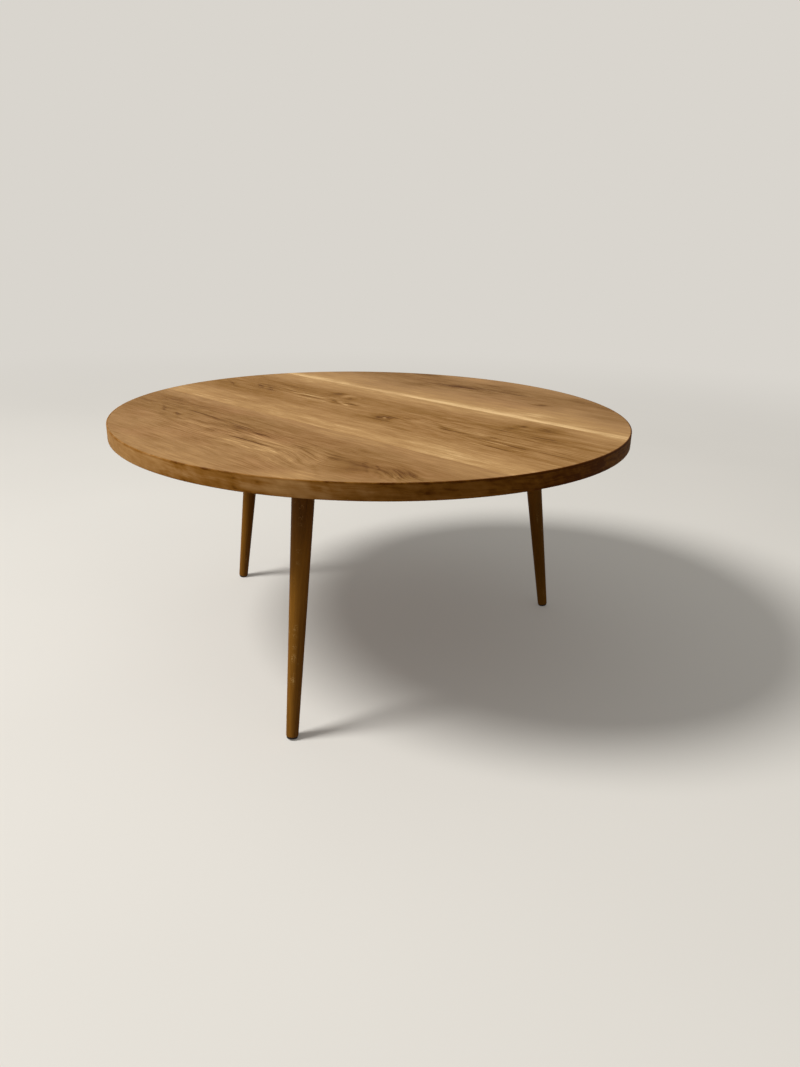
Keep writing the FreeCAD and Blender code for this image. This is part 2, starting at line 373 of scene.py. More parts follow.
leaves = {
    "front": Leaf(
        seed=3.0, low=-450.0, high=-157.0, red=0.8, dull=0.035,
        tones=[(-450, 0.44), (-385, 0.49), (-310, 0.54), (-250, 0.685), (-212, 0.68), (-182, 0.52), (-158, 0.45)],
        marks=[
            (-70, -247, 110, 1.7, 0.24, -4), (-18, -256, 60, 1.8, 0.24, -5), (-48, -259, 34, 9, 0.12, -2),
            (62, -262, 80, 2.2, 0.20, -2), (-165, -242, 50, 2.2, 0.26, -4), (-265, -259, 26, 3, 0.26, -28),
            (-200, -273, 20, 3, 0.24, -24), (-240, -238, 70, 12, 0.06, -8), (90, -240, 90, 4, 0.09, 2),
            (-60, -222, 130, 3, -0.08, 0), (-108, -290, 44, 4.5, -0.26, 0), (14, -281, 46, 8, -0.21, 0),
            (94, -312, 50, 25, -0.14, -6), (-10, -318, 40, 9, -0.15, 0), (25, -299, 74, 2.6, 0.40, 0),
            (-62, -300, 18, 11, 0.15, 0), (112, -302, 40, 1.7, 0.20, -8), (58, -295, 50, 1.7, 0.20, 0),
            (92, -323, 40, 1.7, 0.18, -5), (142, -342, 40, 2.4, -0.20, -14), (166, -306, 30, 2.4, -0.18, -24),
            (208, -309, 14, 7, 0.12, -55), (247, -292, 48, 42, 0.20, -8), (190, -294, 30, 10, -0.17, -50),
            (300, -251, 17, 9, 0.15, -20), (322, -272, 18, 9, 0.19, -62), (338, -257, 22, 3, 0.18, -28),
            (326, -282, 24, 3, -0.16, -52), (268, -278, 32, 2.4, 0.10, -42), (286, -273, 30, 2.4, 0.13, -42),
            (233, -367, 54, 28, -0.23, 38), (-330, -300, 60, 40, 0.05, 0), (-60, -395, 50, 12, 0.07, 0),
            (228, -334, 36, 4, 0.12, -34), (78, -290, 45, 48, -0.14, 0), (110, -190, 70, 22, -0.09, 0),
            (335, -200, 70, 27, -0.09, 0), (-28, -284, 22, 12, 0.11, 0), (-30, -348, 36, 17, 0.12, 0),
            (-300, -214, 80, 18, 0.06, 0), (-300, -172, 80, 22, 0.02, 0), (-150, -252, 110, 16, -0.08, 0),
            (160, -384, 40, 14, 0.12, 0), (308, -266, 32, 25, 0.08, 0),
        ],
        swirls=[(270, -285, 55, 28, 0.35)],
        sweeps=[(165, -315, 95, 44, 34), (318, -272, 60, 30, 30)],
        arches=[(112, -322, 86, 46, -6, 0.12, 0.12, 1), (258, -290, 66, 38, -16, 0.13, 0.12, 1)],
        lively=[(40, -290, 200, 55, 0.9), (258, -287, 60, 40, -0.55)],
    ),
    "middle": Leaf(
        seed=11.0, low=-157.0, high=148.0, red=-0.2,
        tones=[(-157, 0.29), (-128, 0.31), (-95, 0.42), (-55, 0.54), (-15, 0.54), (25, 0.555), (62, 0.615),
               (92, 0.51), (122, 0.37), (148, 0.31)],
        marks=[
            (52, -24, 35, 27, 0.32, 20), (55, -25, 11, 10, 0.26, 0), (55, -27, 4.5, 3.4, -1.0, -30),
            (92, 3, 15, 7, 0.22, 25), (178, -9, 18, 10, 0.25, -16), (150, 6, 22, 4, 0.20, -24),
            (272, -6, 15, 11, 0.32, -30), (337, -26, 22, 7, 0.30, -6), (259, 101, 10, 8, 0.28, 0),
            (308, 110, 28, 15, 0.12, -8), (275, 98, 62, 34, 0.12, 0), (290, 48, 200, 7, 0.17, -1),
            (333, 45, 26, 9, 0.25, -4), (270, 25, 120, 8, 0.13, -1), (322, -49, 120, 6, 0.20, -6),
            (252, -21, 72, 6, 0.30, -6), (400, -22, 50, 6, 0.25, -2), (230, -72, 110, 3, 0.12, -3),
            (180, 33, 150, 3, -0.12, -1), (-158, 57, 19, 23, 0.21, -20), (-129, 58, 13, 15, -0.36, 10),
            (-106, 48, 11, 19, 0.13, 25), (-100, -1, 15, 8, 0.15, -8), (-66, 14, 20, 4, 0.26, -14),
            (-175, 14, 38, 3.2, -0.46, 3), (-112, 13, 20, 3, 0.18, -28), (-240, 3, 30, 3, 0.18, 4),
            (-160, -9, 50, 3, -0.34, 0), (-178, 3, 40, 2.4, 0.26, 2), (-84, 7, 24, 3, -0.30, -24),
            (-325, 3, 20, 5, 0.42, -24), (-288, -2, 18, 6, 0.46, -24), (-294, -34, 50, 28, 0.10, 0),
            (-398, -28, 50, 26, 0.14, 0), (-396, -18, 34, 3, 0.18, -24), (-280, 46, 130, 14, 0.08, 0),
            (-300, 30, 120, 32, 0.08, 0), (-300, -20, 110, 47, 0.06, 0), (-240, -122, 110, 28, 0.085, 0),
            (-250, -62, 80, 24, 0.05, 0), (-340, -92, 80, 18, -0.06, 0), (-310, 126, 70, 28, -0.06, 0),
            (290, -125, 80, 26, -0.10, 0), (85, 52, 36, 26, 0.11, 0), (-40, 116, 60, 36, -0.05, 0),
            (300, 126, 85, 28, 0.13, 0), (250, 84, 13, 42, 0.16, 0), (300, 104, 20, 38, 0.10, 0),
            (165, 8, 50, 14, -0.06, 0),
        ],
        swirls=[(52, -22, 62, 30, 0.62), (-128, 56, 55, 28, 0.55), (180, -9, 44, 18, 0.5), (-98, 2, 50, 16, 0.5),
                (262, 104, 60, 26, 0.35)],
        arches=[(-128, 46, 40, 28, 0, 0.24, 0.28, 0), (-190, 8, 120, 15, 2, 0.30, 0.18, 0),
                (330, -8, 240, 62, -3, 0.10, 0.16, -1)],
        lively=[(310, -10, 230, 75, 0.9), (-190, 12, 130, 24, 0.9)],
    ),
    "rear": Leaf(
        seed=23.0, low=148.0, high=450.0, streaks=0.85, red=0.12, dull=0.045,
        tones=[(148, 0.15), (153, 0.06), (163, 0.09), (173, 0.28), (192, 0.37), (230, 0.46), (282, 0.60), (335, 0.72),
               (378, 0.70), (415, 0.56), (450, 0.50)],
        marks=[
            (-76, 314, 34, 19, 0.17, 12), (-24, 328, 46, 20, 0.10, 8), (0, 390, 34, 22, 0.12, 0),
            (52, 348, 30, 13, 0.13, 12), (66, 335, 46, 3.2, 0.20, 2), (36, 302, 15, 13, 0.09, 0),
            (170, 281, 14, 13, 0.32, 30), (178, 285, 26, 2.5, 0.26, 12), (-70, 318, 60, 3.5, 0.22, 3),
            (-146, 266, 30, 28, 0.20, 24), (-200, 384, 42, 12, 0.20, 4), (95, 268, 60, 6, 0.07, 2),
            (-300, 300, 60, 30, 0.08, 0), (262, 352, 46, 22, 0.12, -24), (220, 362, 60, 30, 0.06, 0),
            (30, 342, 42, 30, 0.05, 0), (-178, 180, 60, 26, 0.12, 0), (215, 200, 58, 22, -0.12, 0),
            (-85, 290, 80, 22, 0.09, 0), (-90, 400, 45, 30, -0.15, 0), (-300, 228, 50, 47, -0.09, 0),
            (245, 290, 42, 52, -0.08, 0), (-200, 161, 160, 11, 0.07, 0), (388, 159, 72, 14, 0.10, 0),
            (335, 255, 55, 46, 0.09, 0),
        ],
        swirls=[(-68, 323, 60, 30, 0.4), (172, 281, 40, 20, 0.45)],
        arches=[(0, 338, 150, 44, 3, 0.16, 0.09, 0)],
        lively=[(-20, 335, 180, 50, 0.9)],
    ),
}


def veneer_figure(tree, leaf, place):
    """How dark the wood is at a place, with painted light, and how its pores lie, from one leaf's marks and grain."""
    x, y, _ = split(tree, place)
    seed = leaf.seed

    # Course of the grain
    wander = swing(tree, x / 260.0, y / 80.0, seed) * 22.0
    ripple = swing(tree, x / 60.0, y / 24.0, seed + 5.0, 3.0) * 5.0
    across = y + wander + ripple
    for cx, cy, along, wide, bend in leaf.swirls:
        across = across - (y - float(cy)) * spot(tree, place, (cx, cy), (along, wide)) * bend
    for cx, cy, along, wide, fall in leaf.sweeps:
        turning = x.between(cx - 0.6 * along, cx + 0.7 * along)
        across = across + turning * spot(tree, place, (cx, cy), (along, wide)) * fall

    # Tone across the leaf, painted a little paler away from the lamp, which stands close by: painted light
    # that offsets the stronger light on the side near the lamp
    drift = swing(tree, x / 300.0, y / 60.0, seed + 1.0) * 14.0
    span = leaf.high - leaf.low
    stops = [((at - leaf.low) / span, float(tone)) for at, tone in leaf.tones]
    edge = (y - leaf.low).of("MINIMUM", leaf.high - y).between(4.0, 60.0)
    painted_paleness_away_from_lamp = (x * 0.53 + y * 0.85) * 0.0001
    dark = tone_ramp(tree, (y + drift * edge - leaf.low) / span, stops) - painted_paleness_away_from_lamp

    # Grain, from broad bands to hairs
    lively = 0.70
    for cx, cy, along, wide, gain in leaf.lively:
        lively = spot(tree, place, (cx, cy), (along, wide)) * gain + lively
    broad = swing(tree, x / 430.0, across / 30.0, seed + 2.0)
    cloud = swing(tree, x / 58.0, across / 15.0, seed + 11.0, 3.0, 0.55)
    lines = swing(tree, x / 95.0, across / 4.8, seed + 3.0, 3.0, 0.6)
    threads = swing(tree, x / 52.0, across / 2.2, seed + 10.0, 2.0, 0.55)
    hairs = swing(tree, x / 26.0, across / 0.95, seed + 4.0, 2.0, 0.6)
    dark = dark + (broad * 0.28 + cloud * 0.46) * leaf.streaks
    dark = dark + (lines * 0.66 + threads * 0.60 + hairs * 0.50) * lively * leaf.streaks

    # Arches
    for cx, cy, along, wide, angle, spacing, strength, side in leaf.arches:
        inside = turned_to(tree, join(tree, x, y + ripple * 1.4), (cx, cy), (along, wide), angle)
        rings = swing(tree, length_of(tree, inside) / spacing, x / 190.0, seed + 6.0, 1.0)
        shown = spot(tree, place, (cx, cy), (along * 1.25, wide * 1.25), angle)
        if side:
            shown = shown * ((x - float(cx)) * side).between(-0.1 * along, 0.55 * along)
        dark = dark + rings * shown * (strength * 2.2)

    # Marks, of which the long ones are broken up along the grain
    blur = swing(tree, x / 26.0, across / 7.0, seed + 7.0)
    shifted = join(tree, x + blur * 22.0, y + (ripple + blur * 5.0))
    streaked = noise(tree, x / 190.0, across / 2.1, seed + 12.0).between(0.36, 0.64, 0.2, 1.8)
    for cx, cy, along, wide, change, angle in leaf.marks:
        mark = spot(tree, shifted, (cx, cy), (along, wide), angle) * change
        dark = dark + (mark * streaked if along > 2 * wide else mark)

    pores = noise(tree, x / 11.0, across / 0.5, seed + 8.0, 1.0).between(0.60, 0.74)
    return dark, pores, lines


def walnut(tree, dark, settings, light, heart, deep):
    """The colour of a tone, from sapwood at 0 to a knot at 1, with the three heartwoods at tones between them."""
    return tone_ramp(tree, dark, [
        (0.0, settings.sapwood), (light, settings.light_heart), (heart, settings.heart), (deep, settings.dark_heart),
        (1.0, settings.knot)], "LINEAR")


def face_veneer_material(leaf_name, settings):
    """Satin walnut face veneer, with one leaf's own figure and, on the front and rear leaves, a painted sheen."""
    leaf = leaves[leaf_name]

    def build(tree):
        x, y, _ = split(tree, surface_point(tree))
        flat = join(tree, x, y)
        dark, pores, lines = veneer_figure(tree, leaf, flat)
        seam = calculate(tree, "MINIMUM", y - leaf.low, leaf.high - y).between(0.25, 1.1, 0.16, 0.0)
        rim = board_radius * 1000.0
        glue = length_of(tree, flat).between(rim - 1.0, rim - 0.2, 0.0, 0.12)
        dark = dark + pores * 0.09 + seam + glue
        colour = walnut(tree, dark, settings, 0.27, 0.5, 0.74)
        blush = noise(tree, x / 210.0, y / 75.0, leaf.seed + 9.0).between(0.42, 0.72) * (0.16 + 0.3 * leaf.red)
        colour = mix_colours(tree, blush, colour, (1.0, 0.86, 0.90), "MULTIPLY")
        # Painted sheen: a grey haze over the darker wood, as much as each leaf's dull, stands in for the lacquer's
        # reflection
        painted_sheen = dark.between(0.2, 0.6) * dark.between(0.7, 1.0, 1.0, 0.15)
        colour = mix_colours(tree, painted_sheen * leaf.dull, colour, settings.haze)
        rough = settings.face_roughness + (lines * 0.10 + pores * 0.14)
        finish = {"Base Color": colour, "Roughness": rough, "Specular IOR Level": 0.06}
        return finish, (lines * 0.25 - pores), 0.00005

    return finish_material(f"{leaf_name} leaf veneer", build)


# Tone of the band by bearing in degrees, darkest on the side turned away from the lamp: partly darker wood
# and partly painted shade. Then how much darker the band gets along its lower edge, by bearing in degrees
rim_tones_and_painted_shade = [
    (150, 0.42), (190, 0.38), (225, 0.36), (262, 0.39), (271, 0.40), (286, 0.65), (302, 0.35), (310, 0.63),
    (318, 0.73), (332, 0.76), (346, 0.88), (358, 0.95), (376, 0.86), (410, 0.62), (450, 0.48), (485, 0.56),
    (510, 0.46),
]
lower_edge_darkening = [
    (150, 0.0), (268, 0.0), (282, 0.08), (290, 0.17), (296, 0.20), (303, 0.12), (310, 0.03), (335, 0.01),
    (343, 0.08), (352, 0.11), (362, 0.05), (372, 0.0), (510, 0.0),
]


def round_the_rim(settings, tones):
    """Tones by bearing, in degrees, as ramp stops that start and end at the band's butt seam."""
    return [((math.radians(bearing) - settings.band_seam_bearing) / (2 * math.pi), tone) for bearing, tone in tones]


def edge_band_material(settings):
    """Mottled band veneer whose grain runs round the rim, with painted shade on the side away from the lamp."""
    seam_turn = Matrix.Rotation(math.pi - settings.band_seam_bearing, 3, "Z").to_euler()

    def build(tree):
        place = add_node(
            tree, "ShaderNodeMapping", {"Vector": surface_point(tree), "Rotation": tuple(seam_turn)},
            vector_type="POINT").outputs[0]
        x, y, z = split(tree, place)
        angle = calculate(tree, "ARCTAN2", y, x)
        turn = angle / (2 * math.pi) + 0.5
        along = angle * (band_high.x * 1000.0)
        up = z - band_low.z * 1000.0
        sway = swing(tree, along / 75.0, up / 30.0, 31.0)
        across = up + sway * 18.0 + along * 0.05
        patchy = swing(tree, along / 46.0, across / 16.0, 38.0)
        # The band's tone round the rim: partly its wood, partly painted shade on the side away from the lamp
        tone = tone_ramp(tree, turn + patchy * 0.06, round_the_rim(settings, rim_tones_and_painted_shade))
        broad = swing(tree, along / 85.0, across / 8.0, 32.0)
        lines = swing(tree, along / 55.0, across / 1.7, 33.0, 3.0, 0.6)
        flame = swing(tree, (along + up * 1.1) / 15.0, (up - along * 0.22) / 13.0, 34.0)
        blotch = noise(tree, along / 34.0, up / 20.0, 35.0).between(0.50, 0.74)
        pores = noise(tree, along / 9.0, across / 0.5, 36.0, 1.0).between(0.60, 0.74)
        # A dark line along the band's top edge: partly a glue line and partly painted shade under the arris
        upper = up.between(20.5, 24.4) * (noise(tree, along / 30.0, 0.0, 37.0).between(0.3, 0.65) * 0.22 + 0.08)
        # Darker along the band's lower edge round the front
        lower = up.between(1.0, 12.0, 1.0, 0.0) * tone_ramp(tree, turn, round_the_rim(settings, lower_edge_darkening))
        figure = broad * 0.75 + lines * 0.55 + flame * 0.6 + blotch * 0.2 + pores * 0.12
        figure = figure * tone.between(0.40, 0.56, 0.55, 1.0) * tone.between(0.5, 0.8, 1.0, 0.6)
        dark = tone + figure + upper + lower
        colour = walnut(tree, dark, settings, 0.25, 0.5, 0.78)
        colour = mix_colours(tree, dark.between(0.35, 0.7, 0.3, 1.0), colour, (0.97, 0.86, 0.62), "MULTIPLY")
        rough = lines * 0.12 + pores * 0.12 + (settings.face_roughness + 0.04)
        finish = {"Base Color": colour, "Roughness": rough, "Specular IOR Level": 0.06}
        return finish, (lines * 0.3 - pores), 0.00006

    return finish_material("edge band veneer", build)


def backing_veneer_material(settings):
    """Plainer walnut backing, left with less finish than the face."""
    leaf = Leaf(41.0, -450.0, 450.0, [(-450, 0.56), (-160, 0.62), (60, 0.52), (250, 0.64), (450, 0.56)], red=0.2)

    def build(tree):
        x, y, _ = split(tree, surface_point(tree))
        dark, pores, lines = veneer_figure(tree, leaf, join(tree, x, y))
        colour = walnut(tree, dark + pores * 0.12, settings, 0.3, 0.55, 0.8)
        return {"Base Color": colour, "Roughness": lines * 0.12 + 0.62}, (lines * 0.4 - pores), 0.00007

    return finish_material("backing veneer", build)


def core_board_material():
    """Pressed wood chips."""
    def build(tree):
        place = surface_point(tree)
        chips = add_node(
            tree, "ShaderNodeTexVoronoi", {"Vector": place, "Scale": 0.28, "Randomness": 1.0}, feature="F1")
        shade = split(tree, chips.outputs["Color"])[0]
        dust = speckle(tree, split(tree, place), 0.8, 3.0)
        colour = tone_ramp(tree, shade * 0.7 + dust * 0.3, [
            (0.0, srgb(112, 84, 52)), (0.45, srgb(164, 130, 88)), (1.0, srgb(206, 176, 130))])
        return {"Base Color": colour, "Roughness": dust * 0.2 + 0.75}, shade + dust * 0.5, 0.0001

    return finish_material("pressed chip board", build)


def fleck_chain(settings):
    """Where curled flecks follow one another down the front leg, as ramp stops along its length."""
    clusters = [
        (40, 5, 0.5), (55, 5, 0.5), (66, 5, 0.4), (106, 5, 0.55), (124, 5, 0.4), (223, 7, 0.6), (236, 5, 0.5),
        (253, 6, 0.45), (271, 10, 1.0), (306, 6, 0.8),
    ]
    length = settings.length * 1000.0
    return [
        (place / length, strength) for middle, half, full in clusters
        for place, strength in ((middle - half, 0.0), (middle, full), (middle + half, 0.0))
    ]


def stock_length(settings):
    """From the front leg's foot to the rear leg's seat in the stock, in millimetres."""
    return (settings.length + stock_step * (len(sides) - 1)) * 1000.0


def painted_light_along_legs(settings):
    """Painted light and shade along the legs, as ramp stops up the stock. A half is even.

    The tones are given down each leg, in millimetres from its seat. They are painted light and shade: the front
    leg is darker just under the top and paler from about 100 to 200 mm down, where the top's shadow falls on
    it; the rear leg is paler about 120 mm down and darker from about 190 to 300 mm; the left leg is even.
    """
    tones = {
        "front": [(0, 0.6), (45, 0.62), (75, 0.5), (120, 0.2), (170, 0.24), (230, 0.44), (330, 0.44), (400, 0.5)],
        "left": [(0, 0.5), (400, 0.5)],
        "rear": [(0, 0.5), (70, 0.5), (120, 0.36), (190, 0.6), (300, 0.68), (370, 0.5), (400, 0.5)],
    }
    stops = [
        ((settings.length + stock_step * place) * 1000.0 - down, tone)
        for place, side in enumerate(sides) for down, tone in tones[side]
    ]
    return [(up / stock_length(settings), tone) for up, tone in sorted(stops)]


def leg_wood_material(settings):
    """Stained, turned wood: long grain about an off-centre pith, fine pores, pale flecks and painted light and shade.
    """
    def build(tree):
        stock = millimetres(tree, add_node(
            tree, "ShaderNodeAttribute", attribute_name="stock", attribute_type="GEOMETRY").outputs["Vector"])
        x, y, z = split(tree, stock)
        bend = swing(tree, x / 40.0, y / 40.0, z / 240.0) * 14.0
        pith_x, pith_y = 52.0, 17.0
        from_pith = length_of(tree, join(tree, x - pith_x, y - pith_y)) + bend
        rings = swing(tree, from_pith / 3.4, z / 300.0, 51.0, 2.0, 0.6)
        broad = swing(tree, from_pith / 13.0, z / 420.0, 52.0)
        fibres = swing(tree, x / 0.7, y / 0.7, z / 26.0, 2.0, 0.6)
        pores = noise(tree, x / 0.45, y / 0.45, z / 7.0, 1.0).between(0.62, 0.74)
        chain = tone_ramp(tree, z * (-0.001 / settings.length), fleck_chain(settings), "LINEAR")
        off_chain = calculate(tree, "ABSOLUTE", y - z * 0.012 - 4.5)
        chain = chain * off_chain.between(2.0, 5.0, 1.0, 0.0) * x.between(0.0, 4.0)
        chain = chain + noise(tree, x / 7.0, y / 7.0, z / 50.0, 1.0).between(0.62, 0.72) * 0.45
        curl = calculate(tree, "ABSOLUTE", swing(tree, x / 3.0, y / 3.0, z / 4.0, 1.0))
        flecks = curl.between(0.010, 0.042, 1.0, 0.0) * chain
        # Painted light and shade: darker and paler bands along the front and rear legs
        stain_and_painted_light = tone_ramp(tree, (z + settings.length * 1000.0) / stock_length(settings), painted_light_along_legs(settings))
        dark = rings * 0.75 + broad * 0.5 + fibres * 0.45 + pores * 0.28 + stain_and_painted_light - 0.04
        medium = tuple(0.62 * pale + 0.38 * deep for pale, deep in zip(settings.pale_stain, settings.dark_stain))
        colour = tone_ramp(
            tree, dark, [(0.0, settings.pale_stain), (0.42, medium), (1.0, settings.dark_stain)], "LINEAR")
        colour = mix_colours(tree, flecks * 0.95, colour, settings.fleck)
        lathe = swing(tree, 0.0, 0.0, z / 1.6, 1.0)
        rough = fibres * 0.12 + pores * 0.12 + 0.42
        finish = {"Base Color": colour, "Roughness": rough, "Specular IOR Level": 0.13}
        return finish, lathe * 0.3 + fibres * 0.25 - pores, 0.00006

    return finish_material("stained leg wood", build)


def powder_coat_material(settings):
    """Black powder coat with its fine orange peel."""
    def build(tree):
        point = split(tree, surface_point(tree))
        peel = speckle(tree, point, 0.9)
        haze = speckle(tree, point, 18.0)
        lift = tuple(min(1.0, part * 1.7 + 0.004) for part in settings.powder_coat)
        colour = tone_ramp(tree, haze * 0.7 + peel * 0.3, [(0.25, settings.powder_coat), (0.8, lift)])
        return {"Base Color": colour, "Roughness": haze * 0.16 + 0.42}, peel, 0.00006

    return finish_material("black powder coat", build)


def zinc_material(settings):
    """Bright zinc plating with a faint crystal mottle."""
    def build(tree):
        point = split(tree, surface_point(tree))
        mottle = speckle(tree, point, 1.6, 3.0)
        dull = tuple(part * 0.72 for part in settings.zinc)
        colour = tone_ramp(tree, mottle, [(0.3, dull), (0.7, settings.zinc)])
        fine = speckle(tree, point, 0.25)
        return {"Base Color": colour, "Roughness": mottle * 0.2 + 0.24, "Metallic": 1.0}, fine, 0.00001

    return finish_material("zinc plating", build)


def glide_material(settings):
    """Dark moulded plastic, scuffed towards the floor."""
    def build(tree):
        point = split(tree, surface_point(tree))
        grain = speckle(tree, point, 0.5)
        scuff = speckle(tree, point, 2.5, 3.0).between(0.45, 0.7) * point[2].between(0.3, 2.2, 1.0, 0.0)
        worn = tuple(min(1.0, part * 2.2 + 0.02) for part in settings.glide)
        colour = mix_colours(tree, scuff * 0.6 + grain * 0.15, settings.glide, worn)
        return {"Base Color": colour, "Roughness": scuff * 0.25 + 0.42}, grain, 0.00003

    return finish_material("moulded glide", build)


# Pieces

def new_piece(name, mesh, material, slot, *nodes):
    """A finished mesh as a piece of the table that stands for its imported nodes."""
    for polygon in mesh.polygons:
        polygon.material_index = 0
    mesh.materials.clear()
    mesh.materials.append(material)
    piece = bpy.data.objects.new(name, mesh)
    bpy.context.scene.collection.objects.link(piece)
    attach(piece, "root")
    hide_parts(*nodes)
    return piece


def dress(material, *nodes):
    """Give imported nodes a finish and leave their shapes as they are."""
    for name in nodes:
        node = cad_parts[name]
        if not node.material_slots:
            node.data.materials.append(material)
        for slot in node.material_slots:
            slot.material = material


def leaf_outline(radius, low, high, steps=96):
    """Points round a leaf: up its right arc and down its left one, with a seam where it is cut."""
    start = math.asin(max(-1.0, low / radius))
    end = math.asin(min(1.0, high / radius))
    right = [start + (end - start) * step / steps for step in range(steps + 1)]
    left = [math.pi - angle for angle in reversed(right)]
    if end > math.pi / 2 - 1e-6:
        left = left[1:]
    if start < 1e-6 - math.pi / 2:
        left = left[:-1]
    return [(radius * math.cos(angle), radius * math.sin(angle)) for angle in right + left]


def lay_level(face, layout, box, corner, share):
    """Lay a level face on its map, from a corner and over a share of each side."""
    low, high = box
    for loop in face.loops:
        x, y, _ = loop.vert.co
        loop[layout].uv = (
            corner[0] + share[0] * (x - low.x) / (high.x - low.x),
            corner[1] + share[1] * (y - low.y) / (high.y - low.y))


def leaf_mesh(name, ease):
    """A leaf of veneer with a tiny bevel round its upper edge and its face laid out for finishing."""
    low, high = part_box(f"face_veneer_{name}")
    cut_low = low.y if low.y > -board_radius + 1e-4 else -board_radius
    cut_high = high.y if high.y < board_radius - 1e-4 else board_radius
    inner_low = cut_low + ease if cut_low > -board_radius else -(board_radius - ease)
    inner_high = cut_high - ease if cut_high < board_radius else board_radius - ease
    outer = leaf_outline(board_radius, cut_low, cut_high)
    inner = leaf_outline(board_radius - ease, inner_low, inner_high)
    shape = bmesh.new()
    rings = [
        [shape.verts.new((x, y, height)) for x, y in outline]
        for outline, height in ((outer, low.z), (outer, high.z - ease), (inner, high.z))
    ]
    layout = shape.loops.layers.uv.new("OFBake")
    count = len(outer)
    lay_level(shape.faces.new(rings[2]), layout, (low, high), (0.0, 0.0), (1.0, 0.94))
    lay_level(shape.faces.new(rings[0][::-1]), layout, (low, high), (0.6, 0.985), (0.4, 0.015))
    for level in (0, 1):
        for step in range(count):
            after = (step + 1) % count
            wall = shape.faces.new((
                rings[level][step], rings[level][after], rings[level + 1][after], rings[level + 1][step]))
            base = 0.955 + 0.012 * level
            for loop, (u, v) in zip(wall.loops, ((step, 0), (step + 1, 0), (step + 1, 1), (step, 1))):
                loop[layout].uv = (u / count, base + 0.008 * v)
    mesh = bpy.data.meshes.new(f"face_leaf_{name}")
    shape.to_mesh(mesh)
    shape.free()
    return mesh


def band_profile(ease):
    """Points round the band's section, (radius, height), from its lower inner corner."""
    points = [(board_radius, band_low.z)]
    corners = (
        (band_high.x - ease, band_low.z + ease, -90.0), (band_high.x - ease, band_high.z - ease, 0.0))
    for radius, height, start in corners:
        for step in range(7):
            turn = math.radians(start + 15.0 * step)
            points.append((radius + ease * math.cos(turn), height + ease * math.sin(turn)))
    points.append((board_radius, band_high.z))
    return points


def band_mesh(settings, steps=432, rows=8):
    """The band as one bent strip with a butt seam, laid out in rows for finishing."""
    profile = band_profile(settings.band_ease)
    spread = [0.0]
    for (r0, z0), (r1, z1) in zip(profile, profile[1:] + profile[:1]):
        spread.append(spread[-1] + math.hypot(r1 - r0, z1 - z0))
    half_gap = settings.band_seam_gap / 2 / band_high.x
    start = settings.band_seam_bearing + half_gap
    turn = 2 * math.pi - 2 * half_gap
    shape = bmesh.new()
    layout = shape.loops.layers.uv.new("OFBake")
    rings = []
    for step in range(steps + 1):
        angle = start + turn * step / steps
        rings.append([
            shape.verts.new((radius * math.cos(angle), radius * math.sin(angle), height))
            for radius, height in profile
        ])
    count = len(profile)
    in_row = steps // rows
    end_margin, row_margin = 0.004, 0.04
    for step in range(steps):
        row, column = divmod(step, in_row)
        for place in range(count):
            after = (place + 1) % count
            quad = shape.faces.new((
                rings[step][place], rings[step][after], rings[step + 1][after], rings[step + 1][place]))
            ends = (spread[place] / spread[-1], spread[place + 1] / spread[-1])
            for loop, (u, v) in zip(quad.loops, ((0, 0), (0, 1), (1, 1), (1, 0))):
                loop[layout].uv = (
                    end_margin + (1 - 2 * end_margin) * (column + u) / in_row,
                    (row + row_margin + (1 - 2 * row_margin) * ends[v]) / rows)
            quad.smooth = True
    for ring in (rings[0][::-1], rings[-1]):
        end = shape.faces.new(ring)
        for loop in end.loops:
            loop[layout].uv = (0.999, 0.999)
    bmesh.ops.recalc_face_normals(shape, faces=shape.faces)
    mesh = bpy.data.meshes.new("edge_band_strip")
    shape.to_mesh(mesh)
    shape.free()
    mesh.set_sharp_from_angle(angle=math.radians(35.0))
    return mesh


def sizes_of(settings, *names):
    """Settings by the labels that a tree's inputs have."""
    return {name.replace("_", " ").title(): getattr(settings, name) for name in names}


def new_tree(name, inputs):
    """A geometry tree with an input for each label and default, and those inputs as fields."""
    kinds = {float: "NodeSocketFloat", int: "NodeSocketInt", tuple: "NodeSocketVector"}
    tree = bpy.data.node_groups.new(name, "GeometryNodeTree")
    tree.is_modifier = True
    for label, default in inputs.items():
        kind = kinds.get(type(default), "NodeSocketMaterial")
        socket = tree.interface.new_socket(label, in_out="INPUT", socket_type=kind)
        if default is not None:
            socket.default_value = default
    tree.interface.new_socket("Geometry", in_out="OUTPUT", socket_type="NodeSocketGeometry")
    given = tree.nodes.new("NodeGroupInput").outputs
    return tree, {label: Field(tree, given[label]) for label in inputs}


def end_tree(tree, geometry, material):
    """Close a tree with realised geometry in one material."""
    whole = add_node(tree, "GeometryNodeRealizeInstances", {"Geometry": geometry})
    finished = add_node(tree, "GeometryNodeSetMaterial", {"Geometry": whole.outputs[0], "Material": material})
    add_node(tree, "NodeGroupOutput", {0: finished.outputs[0]})


